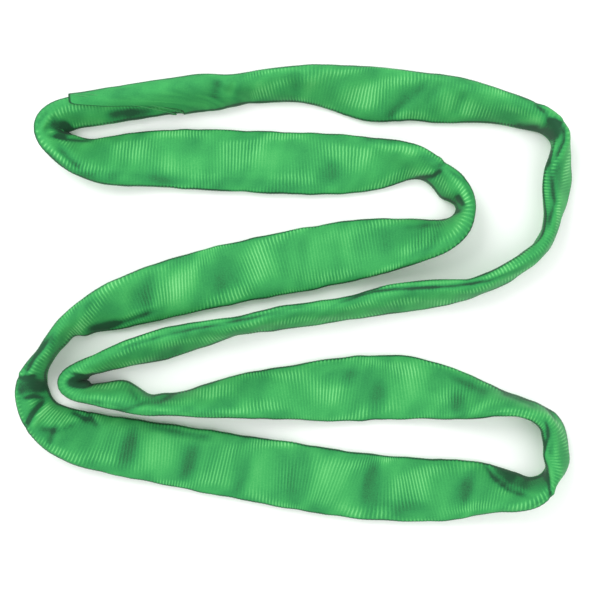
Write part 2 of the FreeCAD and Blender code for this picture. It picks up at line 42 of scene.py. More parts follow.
# ---------------------------------------------------------------- the lie of the sling
# One station per line in the direction of travel, in millimetres:
# x, y of the middle; half width and half thickness of the flattened tube;
# lean of its wide side about the direction of travel, in degrees.
STATIONS = [
    (-203.0, 167.0, 20.6, 8.6, 58),
    (-179.0, 170.8, 20.6, 8.6, 58),
    (-132.0, 178.1, 20.6, 8.6, 58),
    # top strand
    (-86.0, 185.3, 20.6, 8.6, 58),
    (-72.0, 187.5, 20.6, 8.6, 58),
    (-51.0, 189.0, 20.2, 8.0, 66),
    (-21.0, 192.5, 21.2, 8.8, 58),
    (7.0, 194.5, 21.4, 8.6, 55),
    (29.0, 193.0, 22.8, 8.4, 45),
    (50.0, 189.2, 24.2, 8.0, 34),
    (77.0, 184.8, 26.4, 7.2, 17),
    (107.0, 184.5, 23.4, 8.0, 25),
    (135.0, 181.0, 24.0, 8.0, 29),
    (159.0, 178.8, 23.0, 8.4, 41),
    (182.0, 175.0, 21.6, 8.8, 53),
    (202.0, 170.2, 20.4, 8.6, 60),
    (220.0, 164.8, 20.2, 8.4, 66),
    # upper-right corner and the right side
    (234.5, 160.0, 20.2, 8.2, 74),
    (243.5, 152.5, 20.4, 8.4, 80),
    (249.3, 142.6, 20.5, 8.6, 92),
    (248.5, 129.0, 21.0, 9.2, 106),
    (246.8, 113.0, 21.6, 9.5, 121),
    (245.0, 98.0, 21.6, 9.5, 121),
    (243.5, 84.0, 21.0, 9.0, 115),
    (241.5, 69.0, 20.4, 7.7, 102),
    (237.0, 53.0, 20.2, 7.3, 96),
    (227.5, 39.0, 20.2, 7.4, 97),
    (213.5, 28.0, 20.4, 7.6, 100),
    (195.5, 17.5, 20.4, 7.8, 103),
    # thin strand running down to the left
    (170.0, 5.5, 20.0, 7.4, 100),
    (154.0, 2.5, 20.8, 8.3, 107),
    (136.0, 0.8, 21.5, 9.2, 115),
    (97.0, -4.0, 21.5, 9.4, 117),
    (71.0, -9.3, 21.2, 8.8, 113),
    (47.0, -14.3, 20.8, 7.9, 108),
    (22.0, -18.0, 20.6, 8.2, 110),
    (-3.0, -21.2, 20.5, 8.4, 112),
    (-27.0, -25.2, 20.4, 7.8, 106),
    (-49.0, -29.6, 20.2, 7.3, 100),
    (-68.0, -33.8, 20.6, 8.1, 108),
    (-86.0, -37.8, 20.8, 8.9, 115),
    (-120.0, -46.8, 21.6, 9.4, 121),
    (-142.0, -52.8, 21.0, 9.2, 117),
    (-162.0, -58.5, 20.8, 8.0, 110),
    (-177.0, -64.0, 20.2, 7.4, 104),
    # inner-left turn
    (-189.0, -68.6, 20.0, 7.4, 101),
    (-198.5, -72.5, 20.0, 7.4, 100),
    (-204.8, -77.0, 20.0, 7.4, 99),
    (-206.6, -82.2, 20.0, 7.4, 99),
    (-203.3, -87.6, 20.0, 7.4, 99),
    (-196.3, -91.0, 20.0, 7.4, 100),
    (-186.2, -92.4, 20.0, 7.5, 102),
    (-175.0, -92.7, 20.4, 8.0, 108),
    (-160.0, -93.7, 21.0, 8.8, 115),
    (-146.0, -98.8, 20.8, 8.4, 110),
    (-132.0, -102.8, 20.2, 7.5, 102),
    # upper strand of the lower loop
    (-115.0, -102.2, 20.2, 7.6, 105),
    (-98.0, -101.0, 20.2, 8.0, 111),
    (-82.0, -99.4, 21.0, 8.6, 122),
    (-62.0, -96.4, 22.2, 8.4, 135),
    (-41.0, -94.0, 23.4, 7.8, 147),
    (-3.0, -91.6, 25.2, 7.2, 162),
    (32.0, -89.8, 28.8, 6.6, 175),
    (68.0, -87.4, 30.8, 6.4, 180),
    (102.0, -86.4, 29.8, 6.4, 176),
    (126.0, -88.8, 27.4, 6.8, 168),
    (145.0, -92.2, 25.6, 7.2, 160),
    (161.0, -94.9, 23.4, 8.0, 146),
    (175.0, -97.5, 22.0, 8.6, 132),
    (187.0, -99.0, 21.0, 8.4, 119),
    (200.0, -101.5, 20.4, 8.0, 109),
    (212.0, -104.4, 20.2, 7.5, 103),
    # lower-right turn
    (226.8, -109.6, 20.2, 7.6, 102),
    (237.6, -117.2, 20.4, 8.2, 107),
    (243.0, -128.6, 21.0, 9.0, 115),
    (245.0, -142.0, 21.2, 9.3, 116),
    (245.5, -155.0, 21.0, 9.2, 110),
    (242.5, -167.5, 20.8, 9.0, 97),
    (234.5, -177.5, 21.0, 8.8, 81),
    (221.5, -183.3, 21.6, 8.8, 64),
    (206.0, -183.0, 22.8, 8.8, 50),
    (190.0, -180.5, 23.8, 8.4, 38),
    (172.0, -179.8, 25.6, 7.6, 23),
    (154.0, -181.5, 27.4, 7.0, 10),
    # lower strand
    (134.0, -183.0, 29.4, 6.5, 2),
    (77.0, -180.2, 30.5, 6.4, 0),
    (41.0, -175.5, 30.8, 6.4, 0),
    (6.0, -169.8, 30.8, 6.4, 0),
    (-41.0, -162.2, 30.0, 6.4, 0),
    (-85.0, -154.6, 29.0, 6.5, 0),
    (-120.0, -148.4, 28.4, 6.6, 3),
    (-148.0, -143.8, 27.0, 6.9, 8),
    (-176.0, -138.5, 26.8, 7.1, 12),
    (-192.0, -134.8, 26.0, 7.5, 18),
    (-207.5, -129.2, 24.8, 8.0, 28),
    (-220.0, -122.0, 23.4, 8.4, 38),
    # outer-left turn
    (-230.5, -113.0, 22.2, 8.8, 48),
    (-237.0, -101.2, 21.2, 9.0, 56),
    (-240.2, -88.5, 20.6, 9.0, 61),
    (-238.4, -75.5, 20.4, 8.5, 69),
    (-232.6, -64.0, 20.0, 7.9, 79),
    (-225.2, -53.6, 20.0, 7.5, 84),
    (-217.5, -42.5, 20.2, 7.9, 80),
    (-208.0, -32.8, 20.2, 8.2, 73),
    (-196.0, -25.0, 21.0, 8.8, 62),
    (-181.0, -18.0, 22.8, 8.8, 46),
    (-164.0, -11.6, 24.4, 8.2, 31),
    # broad strand running up to the right
    (-146.0, -5.2, 25.2, 7.6, 20),
    (-109.0, 6.2, 27.0, 7.0, 8),
    (-63.0, 17.4, 28.2, 6.6, 2),
    (-21.0, 26.0, 28.8, 6.5, 0),
    (15.0, 32.6, 29.4, 6.5, 0),
    (52.0, 39.8, 28.6, 6.7, -4),
    (87.0, 45.4, 26.4, 7.4, -16),
    (103.0, 47.4, 24.8, 8.0, -26),
    (118.0, 50.0, 23.2, 8.4, -37),
    (132.8, 52.0, 22.2, 8.8, -48),
    # middle-right turn
    (146.4, 56.8, 21.2, 8.8, -59),
    (155.8, 64.2, 20.4, 8.2, -70),
    (161.0, 74.4, 20.0, 7.4, -80),
    (161.2, 84.2, 20.0, 7.4, -80),
    (155.8, 93.4, 20.2, 8.0, -74),
    (147.4, 101.8, 20.4, 8.4, -67),
    (136.6, 110.4, 20.2, 8.0, -68),
    (124.6, 118.4, 20.4, 8.2, -64),
    (112.5, 122.2, 21.4, 8.4, -51),
    # second strand
    (100.0, 122.6, 22.8, 8.2, -39),
    (87.0, 121.4, 24.0, 7.9, -28),
    (73.0, 120.4, 25.4, 7.5, -17),
    (38.0, 120.9, 28.8, 6.6, -3),
    (-3.0, 121.6, 28.8, 6.5, 0),
    (-58.0, 124.4, 28.8, 6.5, 0),
    (-116.0, 126.2, 27.4, 6.8, 4),
    (-140.0, 125.6, 26.0, 7.2, 12),
    (-160.0, 124.0, 25.2, 7.8, 21),
    # upper-left turn
    (-176.0, 123.8, 24.2, 8.2, 30),
    (-191.0, 126.2, 22.8, 8.6, 40),
    (-204.0, 131.4, 21.6, 8.6, 51),
    (-214.4, 138.4, 20.8, 8.6, 58),
    (-221.6, 146.8, 20.4, 8.6, 60),
    (-223.0, 155.5, 20.4, 8.6, 60),
    (-216.0, 162.5, 20.6, 8.6, 59),
]
COUNT = len(STATIONS)
# the whole set of stations moves by this much to lie about the origin
SHIFT_X, SHIFT_Y = -3.8, 1.2
# the sling lies higher on its label and on the tucked-in end at the overlap
LABEL_LIFT, JOINT_LIFT = 1.45, 2.3
LABEL_AT = STATIONS.index((41.0, -175.5, 30.8, 6.4, 0))
JOINT_LAST = 4
# stations passed a second time, under the overlap
PASSED_TWICE = 4
SPLINE_ORDER = 3
SPLINE_STEPS = 12


def rest_height(half_width, half_thick, lean):
    turn = math.radians(lean)
    return math.hypot(half_width * math.sin(turn), half_thick * math.cos(turn))


def control_points():
    """The route's control points and, at each, half width, half thickness and lean."""
    places, shapes = [], []
    for index in list(range(COUNT)) + list(range(PASSED_TWICE)):
        x, y, wide, thin, lean = STATIONS[index]
        lift = 0.0
        if abs(index - LABEL_AT) <= 1:
            lift = LABEL_LIFT
        if index <= JOINT_LAST:
            lift = JOINT_LIFT
        z = rest_height(wide, thin, lean) + lift
        places.append((x + SHIFT_X, y + SHIFT_Y, z))
        shapes.append((wide, thin, lean))
    return places, shapes


def nurbs_line(name, points):
    """Points read from a NURBS spline with these control points."""
    curve = bpy.data.curves.new(name, "CURVE")
    curve.dimensions = "3D"
    curve.resolution_u = SPLINE_STEPS
    spline = curve.splines.new("NURBS")
    spline.points.add(len(points) - 1)
    for point, place in zip(spline.points, points):
        point.co = (*[c * MM for c in place], 1.0)
    spline.order_u = SPLINE_ORDER
    spline.use_endpoint_u = True
    carrier = bpy.data.objects.new(name, curve)
    line = bpy.data.meshes.new_from_object(carrier)
    found = np.array([v.co[:] for v in line.vertices], float) / MM
    bpy.data.objects.remove(carrier)
    bpy.data.curves.remove(curve)
    bpy.data.meshes.remove(line)
    return found


places, shapes = control_points()
LINE = nurbs_line("route_points", places)
FORM = nurbs_line("route_shapes", shapes)
RUN = np.concatenate([[0.0], np.cumsum(np.linalg.norm(np.diff(LINE, axis=0), axis=1))])
LENGTH = RUN[-1]


def along(values, s):
    """Columns of a table, one row per point of LINE, read at distances s along the route."""
    columns = [np.interp(s, RUN, values[:, k]) for k in range(values.shape[1])]
    return np.stack(columns, axis=-1)


def smooth_step(low, high, value):
    share = np.clip((value - low) / (high - low), 0, 1)
    return share * share * (3 - 2 * share)


WAVES = 6
WAVE_HEIGHT = 3.2
WAVE_SPREAD = (0.7, 1.6)


def smooth_noise(s, t, seed, wave_s, wave_t):
    """Soft bumps, mostly between -1 and 1, over a plane, from a few crossed waves."""
    draws = np.random.default_rng(seed)
    total = np.zeros(np.broadcast(s, t).shape)
    for _ in range(WAVES):
        rate_s = 2 * math.pi / (wave_s * draws.uniform(*WAVE_SPREAD)) * draws.choice([-1, 1])
        rate_t = 2 * math.pi / (wave_t * draws.uniform(*WAVE_SPREAD))
        total = total + np.sin(rate_s * s + rate_t * t + draws.uniform(0, 2 * math.pi))
    return total / WAVE_HEIGHT


# ---------------------------------------------------------------- folds, pockets and pushes
# Places in plan, in millimetres, in the same frame as the stations.
# Fold: a line of points, half width, depth, painted shade in its valley (a negative value
# paints it lighter).
FOLDS = [
    # upper-left turn
    ([(-214, 164), (-226, 147)], 2.6, 1.4, 0.30),
    ([(-221, 168), (-233, 153)], 2.6, 1.0, 0.22),
    ([(-224, 146), (-206, 143), (-180, 143)], 2.0, 1.6, 0.55),
    ([(-215, 136), (-190, 112)], 3.0, 1.2, 0.20),
    ([(-226, 133), (-204, 112)], 2.6, 1.0, 0.25),
    ([(-176, 164), (-150, 167), (-122, 170)], 3.4, 0.5, 0.26),
    # top strand
    ([(-66, 198), (-71, 177)], 5.0, 1.8, 0.30),
    ([(-50, 196), (-58, 180)], 3.0, 1.0, -0.20),
    ([(128, 197), (104, 178), (86, 160)], 5.0, 1.6, 0.22),
    ([(140, 196), (122, 176)], 4.0, 1.0, 0.18),
    ([(8, 205), (2, 184)], 6.0, 1.0, 0.18),
    ([(160, 186), (150, 164)], 4.5, 1.0, 0.15),
    # upper-right corner
    ([(250, 157), (248, 139), (238, 120)], 2.4, 2.0, 0.50),
    ([(205, 156), (232, 152)], 3.0, 1.4, 0.45),
    ([(236, 112), (241, 84), (233, 60)], 2.4, 1.2, 0.35),
    ([(222, 178), (236, 158)], 2.6, 1.2, 0.25),
    ([(231, 160), (244, 156), (250, 158)], 2.0, 1.4, 0.45),
    ([(230, 150), (236, 132), (234, 112)], 2.2, 1.2, 0.40),
    # middle-right turn
    ([(151, 92), (158, 79)], 2.4, 2.2, 0.60),
    ([(137, 69), (158, 79)], 2.2, 1.6, 0.45),
    ([(128, 112), (146, 124)], 2.6, 1.2, 0.25),
    ([(112, 107), (130, 108), (139, 114)], 2.2, 1.6, 0.50),
    ([(138, 118), (158, 103), (168, 84)], 2.4, 1.2, 0.25),
    ([(100, 62), (146, 66)], 3.0, 1.0, 0.20),
    # ridge along the thin strand
    ([(38, -10), (62, -1), (75, 3), (99, 5), (144, 7), (181, 12), (215, 25)], 1.9, 1.5, 0.50),
    ([(-150, -48), (-110, -36), (-60, -26), (0, -15)], 1.9, 1.0, 0.35),
    # inner-left turn
    ([(-204, -72), (-190, -76), (-178, -74)], 2.2, 1.6, 0.50),
    ([(-196, -98), (-170, -100)], 2.4, 1.0, 0.25),
    ([(-128, -96), (-150, -106), (-168, -108)], 2.6, 0.8, 0.28),
    ([(-138, -100), (-120, -98), (-102, -88)], 2.4, 0.8, 0.24),
    ([(-150, -88), (-138, -98)], 2.4, 0.8, 0.22),
    # outer-left turn
    ([(-219, -38), (-234, -58), (-245, -78)], 2.0, 1.2, 0.40),
    ([(-226, -96), (-235, -108), (-243, -122)], 2.8, 3.2, 0.75),
    ([(-206, -108), (-186, -118)], 2.4, 1.4, 0.40),
    ([(-192, -107), (-178, -124)], 2.6, 1.0, 0.28),
    ([(-216, -118), (-222, -140)], 3.0, 1.2, 0.28),
    ([(-190, -34), (-160, -28), (-120, -14)], 2.6, 1.2, 0.35),
    ([(-254, -76), (-240, -76), (-231, -74)], 2.0, 1.2, 0.40),
    ([(-246, -96), (-236, -94), (-226, -96)], 1.8, 1.0, 0.40),
    ([(-232, -122), (-214, -126), (-196, -118)], 2.6, 1.0, 0.25),
    ([(-70, -134), (-100, -129), (-136, -122)], 3.4, 0.6, 0.24),
    # lower-right turn
    ([(228, -96), (238, -106), (246, -118)], 2.0, 1.0, 0.28),
    ([(232, -112), (234, -130), (230, -146), (231, -160)], 1.8, 1.4, 0.45),
    ([(190, -88), (229, -103)], 2.8, 1.4, 0.40),
    ([(178, -154), (186, -168), (200, -180), (222, -186)], 2.0, 1.8, 0.28),
    ([(198, -158), (214, -163), (232, -166)], 2.6, 1.8, 0.45),
    ([(232, -152), (234, -170), (238, -190)], 1.8, 1.6, 0.50),
    ([(236, -118), (238, -150)], 2.4, 1.0, 0.28),
    ([(140, -70), (160, -82), (186, -92)], 4.0, 0.8, 0.20),
]
# Pocket or pad: middle, half lengths along x and y, turn in degrees, depth, painted shade
# (negative: painted light).
POCKETS = [
    (-211, 152, 9, 8, 0, 0.9, 0.85),
    (-150, 165, 22, 6, 8, 0.6, 0.34),
    (-180, 134, 12, 9, 20, 0.8, 0.22),
    (-150, 107, 44, 6, -3, 0.8, 0.30),
    (-40, 102, 60, 6, -2, 0.8, 0.25),
    (36, 112, 14, 11, 30, 1.2, 0.35),
    (86, 142, 26, 5, -8, 0.8, 0.40),
    (-100, 122, 30, 10, 0, -0.6, -0.25),
    (-20, 126, 34, 9, 0, -0.5, -0.20),
    (239, 151, 9, 11, -20, 0.9, 0.62),
    (84, 50, 34, 12, 10, 0.8, 0.24),
    (34, 38, 24, 16, 60, -0.8, -0.25),
    (-60, 18, 26, 14, 20, 0.6, 0.15),
    (-100, 14, 18, 12, 20, -0.6, -0.22),
    (-137, -4, 11, 20, -20, 1.0, 0.32),
    (-160, 2, 12, 12, 0, -0.6, -0.22),
    (-174, -30, 17, 5, 15, 1.2, 0.55),
    (-194, -81, 12, 6, 0, 0.9, 0.95),
    (-232, -90, 7, 10, 0, 0.4, 0.20),
    (-216, -46, 10, 5, 40, 0.4, 0.20),
    (-128, 148, 40, 4, 2, 0.3, -0.14),
    (-239, -85, 13, 10, -10, 0.9, 0.55),
    (-234, -58, 7, 22, -28, 0.4, 0.34),
    (-224, -44, 16, 6, 40, 0.4, 0.30),
    (250, 96, 4, 30, 0, -0.4, -0.12),
    (240, 96, 6, 34, 2, 0.4, 0.22),
    (-206, -100, 12, 8, 0, 0.8, 0.20),
    (209, -168, 27, 13, -10, 0.9, 0.52),
    (80, -98, 10, 18, -10, 1.2, 0.38),
    (46, -76, 20, 7, 10, 0.8, 0.38),
    (154, -103, 8, 13, 0, 1.0, 0.32),
    (134, -82, 9, 12, -30, 1.0, 0.32),
    (105, -92, 12, 14, 0, -0.8, -0.25),
    (-10, -92, 40, 9, 5, -0.5, -0.15),
    (-151, -144, 9, 26, -8, 1.4, 0.34),
    (-93, -152, 9, 26, -8, 1.2, 0.22),
    (-46, -160, 9, 28, -8, 1.3, 0.34),
    (8, -168, 11, 30, -8, 1.4, 0.30),
    (74, -180, 9, 30, -6, 1.6, 0.38),
    (108, -196, 26, 6, -4, 0.8, 0.22),
    (157, -184, 8, 22, -30, 1.2, 0.32),
    (-122, -150, 14, 20, 0, -0.8, -0.20),
    (-20, -164, 14, 20, 0, -0.8, -0.22),
    (42, -174, 14, 20, 0, -0.8, -0.24),
    (112, -176, 16, 12, 0, -0.6, -0.15),
    (64, 186, 22, 10, 0, -0.6, -0.20),
    (-20, 190, 16, 8, 0, -0.4, -0.12),
    (185, 178, 20, 8, -15, -0.5, -0.15),
]
# Push of the cloth in plan: middle, reach, push along x and along y.
PUSHES = [
    (143, 95, 8, -1.5, -3.6),
    (-150, -84, 13, 0.0, 2.6),
    (-196, -82, 7, 7.0, 1.5),
    (226, -148, 8, -3.4, 0.0),
    (258, -154, 9, 2.2, 0.0),
    (248, -178, 8, -2.0, 1.5),
    (-205, -38, 8, 0.0, 2.5),
    (-190, -38, 6, 0.0, -1.5),
    (-68, 178, 7, 0.0, -1.5),
]

# Fold: how far it is felt, the raised lip on its left side with its painted highlight, the
# painted shade of the valley, and its fade at the ends.
FAR_AWAY = 1e9
FOLD_REACH = 5
LIP_OFFSET, LIP_WIDTH, LIP_RISE, LIP_HIGHLIGHT = 1.9, 1.2, 0.45, 0.5
VALLEY_SHADE = 1.3
END_FADE, END_LEAST = 5, 0.15
# Pocket: strong ones have a sharper rim; soft ones are shallower and their painted shade is
# paler than stated.
STRONG_SHADE = 0.5
STRONG_RIM, SOFT_RIM = 3.0, 2.2
SOFT_DEPTH, SOFT_SHADE = 0.5, 0.72
# The cloth is pressed only where it faces up, and the hank under it stops it sinking.
UPPER_RANGE = (-0.25, 0.25)
SINK_LIMIT, RISE_LIMIT = 0.9, 2.2


def press_folds(x, y, depth, dark):
    """Add the folds' depth, the painted shade in their valleys and the painted highlight on
    their lips, at places in plan.
    """
    for line, width, deep, shade in FOLDS:
        best = np.full(x.shape, FAR_AWAY)
        side = np.zeros(x.shape)
        ends = np.ones(x.shape)
        count = len(line) - 1
        for k in range(count):
            (x0, y0), (x1, y1) = line[k], line[k + 1]
            span = math.hypot(x1 - x0, y1 - y0)
            ux, uy = (x1 - x0) / span, (y1 - y0) / span
            q = (x - x0) * ux + (y - y0) * uy
            t = (y - y0) * ux - (x - x0) * uy
            inside = np.clip(q, 0, span)
            far = np.hypot(q - inside, t)
            near = far < best
            best = np.where(near, far, best)
            side = np.where(near, t, side)
            total = (k + inside / span) / count
            fade = np.clip(np.minimum(total, 1 - total) * END_FADE, END_LEAST, 1)
            ends = np.where(near, fade, ends)
        reach = best < FOLD_REACH * width
        valley = np.exp(-(best / width) ** 2) * ends
        off_lip = (best - LIP_OFFSET * width) / (LIP_WIDTH * width)
        lip = np.exp(-off_lip ** 2) * (side > 0) * ends
        depth += reach * deep * (valley - LIP_RISE * lip)
        # painted shade along the valley and a painted highlight on the raised lip
        dark += reach * shade * (VALLEY_SHADE * valley - LIP_HIGHLIGHT * lip)


def press_pockets(x, y, depth, dark):
    """Add the pockets' depth and their painted shade, or painted light on pads, at places in
    plan.
    """
    for cx, cy, rx, ry, turn, deep, shade in POCKETS:
        cos, sin = math.cos(math.radians(turn)), math.sin(math.radians(turn))
        a = ((x - cx) * cos + (y - cy) * sin) / rx
        b = ((y - cy) * cos - (x - cx) * sin) / ry
        strong = abs(shade) > STRONG_SHADE
        mask = np.exp(-(a * a + b * b) ** (STRONG_RIM if strong else SOFT_RIM))
        depth += mask * deep * (1.0 if strong else SOFT_DEPTH)
        # painted shade in a pocket, painted light on a pad
        dark += mask * shade * (1.0 if strong else SOFT_SHADE)


def folded(grid, normals):
    """Surface moved by folds, pockets and pushes, and the painted shade (light where negative)
    of the first two.
    """
    x = grid[..., 0] - SHIFT_X
    y = grid[..., 1] - SHIFT_Y
    upper = smooth_step(*UPPER_RANGE, normals[..., 2])
    depth = np.zeros(x.shape)
    dark = np.zeros(x.shape)
    press_folds(x, y, depth, dark)
    press_pockets(x, y, depth, dark)
    depth = np.clip(depth, -RISE_LIMIT, SINK_LIMIT)
    moved = grid - normals * (depth * upper)[..., None]
    for cx, cy, reach, dx, dy in PUSHES:
        pull = np.exp(-((x - cx) ** 2 + (y - cy) ** 2) / reach ** 2)
        moved[..., 0] += dx * pull
        moved[..., 1] += dy * pull
    return moved, dark * upper


# ---------------------------------------------------------------- sleeve shape
AROUND = 60
RIB_PITCH = 3.0
ROWS_PER_RIB = 4
RIB_HEIGHT = 0.17
# The section is an ellipse when narrow and squarer when wide.
ROUND_WIDTH, SQUARE_OVER = 20, 9
LEAST_SQUARE, MORE_SQUARE = 0.45, 1.1
# Outer lap: where it ends, how much larger it is, and the slant of its mouth.
LAP_END = 112.0
LAP_GROW = 1.9
GROW_FADE = (LAP_END - 4, LAP_END + 34)
SLANT_FADE = (LAP_END + 30, LAP_END + 68)
SLANT_RUN = LAP_END + 70
MOUTH_LEAST, MOUTH_MOST = 2, LAP_END - 12
MOUTH_SIDES = (7.5, -14.5)
# half the stretch of route over which its heading is read
HEADING_REACH = 2.5


def section_outline(at, theta, grow):
    """Half-width and half-thickness coordinates of the cover's outline, and its lean."""
    form = along(FORM, at.ravel()).reshape(*at.shape, 3)
    wide = form[..., 0] + grow
    thin = form[..., 1] + grow
    flat = np.clip((wide - ROUND_WIDTH) / SQUARE_OVER, 0, 1) * MORE_SQUARE + LEAST_SQUARE
    power = 2 / (2 + flat)
    cos, sin = np.cos(theta), np.sin(theta)
    u = wide * np.sign(cos) * np.abs(cos) ** power
    v = thin * np.sign(sin) * np.abs(sin) ** power
    # lumps of the hank under the cover, fading to its folded edges
    edge = 1 - (np.abs(u) / wide) ** 4
    lumps = smooth_noise(at, u, 3, 60, 34) * 0.5 + smooth_noise(at, u, 4, 24, 60) * 0.3
    v = v + np.sign(sin) * edge * lumps
    # long and short unevenness of the width
    uneven = 0.014 * smooth_noise(at, 0, 5, 50, 9)
    u = u * (1 + uneven + 0.006 * smooth_noise(at, 0, 6, 17, 9))
    return u, v, np.radians(form[..., 2])


def mouth_slant(s, plan):
    """Distance along the route when the rows of the outer lap start at its slanted mouth."""
    start = MOUTH_LEAST + MOUTH_MOST * smooth_step(*MOUTH_SIDES, plan)
    return np.where(s < SLANT_RUN, start + s * (SLANT_RUN - start) / SLANT_RUN, s)


def sleeve_surface(s, theta, grow, blend):
    """Points of the cover for rows s along the route and angles theta round it."""
    u, v, lean = section_outline(s + theta * 0, theta, grow)
    plan = u * np.cos(lean) - v * np.sin(lean)
    # slant and waver of the ribs across the cover
    slant = 0.24 * smooth_noise(s, u * 0, 11, 150, 9) * u
    waver = slant + 0.14 * np.sin(u / 1.3 + 0.3 * np.sin(s / 9))
    # the outer lap has slanted rows, the rest has straight ones
    at = np.clip(mouth_slant(s, plan) * blend + (s + waver) * (1 - blend), 0, LENGTH)
    u, v, lean = section_outline(at, theta, grow)

    def on_route(distance):
        return along(LINE, distance.ravel()).reshape(*u.shape, 3)

    middle = on_route(at)
    travel = (on_route(np.clip(at + HEADING_REACH, 0, LENGTH))
              - on_route(np.clip(at - HEADING_REACH, 0, LENGTH)))
    heading = np.arctan2(travel[..., 1], travel[..., 0])
    across = np.stack([-np.sin(heading), np.cos(heading), np.zeros_like(heading)], -1)
    up = np.zeros_like(across)
    up[..., 2] = 1
    wide_axis = across * np.cos(lean)[..., None] + up * np.sin(lean)[..., None]
    thin_axis = -across * np.sin(lean)[..., None] + up * np.cos(lean)[..., None]
    return middle + wide_axis * u[..., None] + thin_axis * v[..., None]


def grid_normals(grid):
    """Outward unit normals of a surface given as rows of points round it."""
    ds = np.gradient(grid, axis=0)
    dt = np.roll(grid, -1, axis=1) - np.roll(grid, 1, axis=1)
    n = np.cross(dt, ds)
    return n / np.maximum(np.linalg.norm(n, axis=-1, keepdims=True), 1e-9)


# ---------------------------------------------------------------- sleeve tones and painted shade
# Tone of the cloth, and how much painted shade each cause takes from it.
TONE = 0.52
FOLD_SHADE_TONE, STEEP_SHADE_TONE, RIM_SHADE_TONE, MOUTH_SHADOW_TONE = 0.62, 0.14, 0.50, 0.45
# Upward part of the cloth's normal: steep cloth has less than the first and gets painted
# shade, and the painted shade of the rim fades in over the second; the rim's own fade is in
# millimetres from the outline in plan.
STEEP_BELOW = 0.40
UPRIGHT = (0.0, 0.3)
RIM_WIDTHS = (0.35, 1.9)
# Hem at the mouth: rows as (share of the cloth's gap turned in, millimetres back inside).
HEM_GAP = 1.3
HEM_ROWS = ((1.0, 4), (1.0, 0.3), (0.5, 0))
HEM_AHEAD = 10


def rib_patches(s, theta, dark):
    """Where the ribs stand out: in patches, and less under the painted shade of the folds and
    pockets.
    """
    patchy = 0.5 + 0.5 * np.clip(smooth_noise(s, theta * 14, 21, 70, 16) + 0.35, -1, 1)
    return patchy * np.clip(1 - 1.2 * np.clip(dark, 0, 1), 0.32, 1)


def outline_shade(grid, normals):
    """Painted shade along the outline in plan, where the cloth turns under, from 0 to 1."""
    travel = np.gradient(grid.mean(axis=1), axis=0)[:, None, :]
    pace = np.linalg.norm(travel[..., :2], axis=-1, keepdims=True)
    travel = travel / np.maximum(pace, 1e-6)
    side = grid[..., 1] * travel[..., 0] - grid[..., 0] * travel[..., 1]
    left = side.max(axis=1, keepdims=True) - side
    right = side - side.min(axis=1, keepdims=True)
    beside = 1 - smooth_step(*RIM_WIDTHS, np.minimum(left, right))
    return beside * smooth_step(*UPRIGHT, normals[..., 2])


def cloth_tone(s, theta, grid, normals, dark):
    """Lightness of the cover before the ribs and yarns are added, about 0 to 1, with painted
    shade from folds, pockets, steep cloth and the outline.
    """
    soft = smooth_noise(s, theta * 9, 31, 62, 26) * 0.09
    soft = soft + smooth_noise(s, theta * 9, 32, 22, 14) * 0.05
    # painted shade on steep cloth, where less light falls
    steep = 1 - smooth_step(0.0, STEEP_BELOW, np.abs(normals[..., 2]))
    # painted shade along the outline
    rim = outline_shade(grid, normals)
    return TONE - dark * FOLD_SHADE_TONE + soft - steep * STEEP_SHADE_TONE - rim * RIM_SHADE_TONE


def mouth_hem(grid, normals):
    """Rows of the hem turned in at the mouth, innermost first."""
    into = grid[HEM_AHEAD] - grid[0]
    into = into / np.linalg.norm(into, axis=-1, keepdims=True)
    inward = -normals[0] * HEM_GAP
    return np.array([grid[0] + inward * share + into * back for share, back in HEM_ROWS])


def tube_faces(rows):
    """Corner numbers of the quads of a tube with this many rows of points."""
    index = np.arange(rows * AROUND).reshape(rows, AROUND)
    ahead = np.roll(index, -1, axis=1)
    return np.stack([index[:-1], index[1:], ahead[1:], ahead[:-1]], -1).reshape(-1, 4)


def tube_mesh(name, grid):
    """Smooth mesh of a tube open at both ends, and its faces."""
    verts = grid.reshape(-1, 3) * MM
    faces = tube_faces(grid.shape[0])
    mesh = bpy.data.meshes.new(name)
    mesh.vertices.add(len(verts))
    mesh.vertices.foreach_set("co", verts.ravel())
    mesh.loops.add(faces.size)
    mesh.loops.foreach_set("vertex_index", faces.ravel())
    mesh.polygons.add(len(faces))
    mesh.polygons.foreach_set("loop_start", np.arange(len(faces)) * 4)
    mesh.update(calc_edges=True)
    mesh.polygons.foreach_set("use_smooth", np.ones(len(faces), bool))
    return mesh, faces


def lay_cloth_coordinates(mesh, faces, phase, theta):
    """Coordinates on the cover: along the sleeve in ribs, round it as a share."""
    along_ribs = np.repeat(phase, AROUND, axis=1).ravel()[faces]
    share = np.repeat(theta / (2 * math.pi), len(phase), axis=0).ravel()[faces]
    # the last face of each row closes the round instead of running back over it
    split = (share.max(axis=1, keepdims=True) - share.min(axis=1, keepdims=True)) > 0.5
    share[(share < 0.5) & split] += 1.0
    layer = mesh.uv_layers.new(name="cloth")
    layer.data.foreach_set("uv", np.stack([along_ribs, share], -1).ravel())


